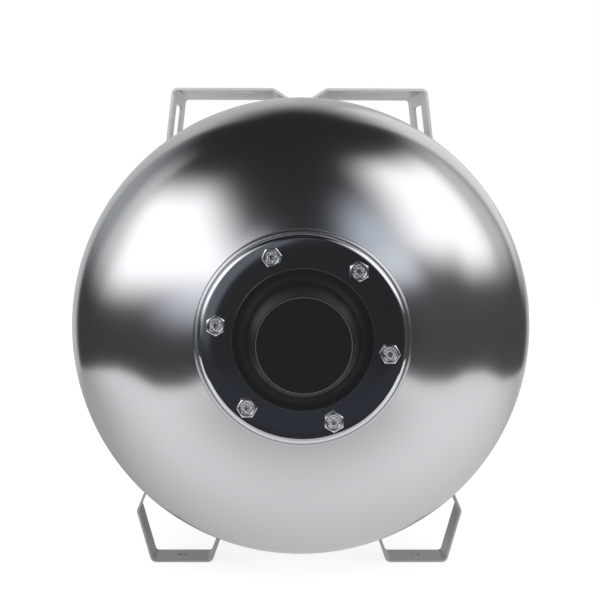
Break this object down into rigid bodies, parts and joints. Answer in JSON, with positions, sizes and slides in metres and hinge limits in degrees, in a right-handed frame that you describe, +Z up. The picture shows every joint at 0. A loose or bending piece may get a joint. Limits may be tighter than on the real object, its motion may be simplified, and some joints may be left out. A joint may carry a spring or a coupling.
{
  "type": "pressure tank",
  "caption": "Horizontal steel pressure tank with a rubber bladder, bolted flange with capped water port, air valve at the rear, strip feet and a slotted bracket for a pump on top.",
  "frame": {"origin": "middle of the footprint, on the floor under the feet", "axes": "+Y along the tank from the flange to the air valve, +Z up, +X to the right when the flange is faced"},
  "size_m": [0.3508, 0.6784, 0.3825],
  "materials": {
    "polished_steel": "polished",
    "mirror_steel": "mirror polished",
    "zinc_steel": "bright zinc",
    "sheet_steel": "brushed sheet",
    "black_plastic": "satin moulded",
    "black_rubber": "dull",
    "brass": "turned",
    "spring_steel": "drawn wire"
  },
  "bodies": {
    "tank": {"front_head": "polished_steel", "rear_head": "polished_steel", "barrel": "polished_steel", "neck_ring": "mirror_steel", "counter_flange": "mirror_steel", "port_socket": "mirror_steel", "flange_bolts": "zinc_steel", "weld_nuts": "zinc_steel", "bladder": "black_rubber", "valve_boss": "mirror_steel", "valve_washer": "black_rubber", "valve_stem": "brass", "valve_core": "brass", "valve_spring": "spring_steel", "pump_bracket": "sheet_steel", "foot_front_left": "sheet_steel", "foot_front_right": "sheet_steel", "foot_rear_left": "sheet_steel", "foot_rear_right": "sheet_steel"},
    "port_cap": {"port_cap": "black_plastic", "port_cap_sleeve": "black_plastic"},
    "valve_cap": {"valve_cap": "black_plastic"},
    "valve_pin": {"valve_pin": "brass"}
  },
  "joints": [
    {"name": "port_cap_off", "type": "slide", "parent": "tank", "child": "port_cap", "axis": [0, -1, 0], "range_m": [0, 0.06]},
    {"name": "valve_cap_off", "type": "slide", "parent": "tank", "child": "valve_cap", "axis": [0, 1, 0], "range_m": [0, 0.025]},
    {"name": "valve_pin_press", "type": "slide", "parent": "tank", "child": "valve_pin", "axis": [0, -1, 0], "range_m": [0, 0.0012], "stiffness_N_per_m": 600, "springref_m": -0.0008, "deforming": ["valve_spring"]}
  ]
}
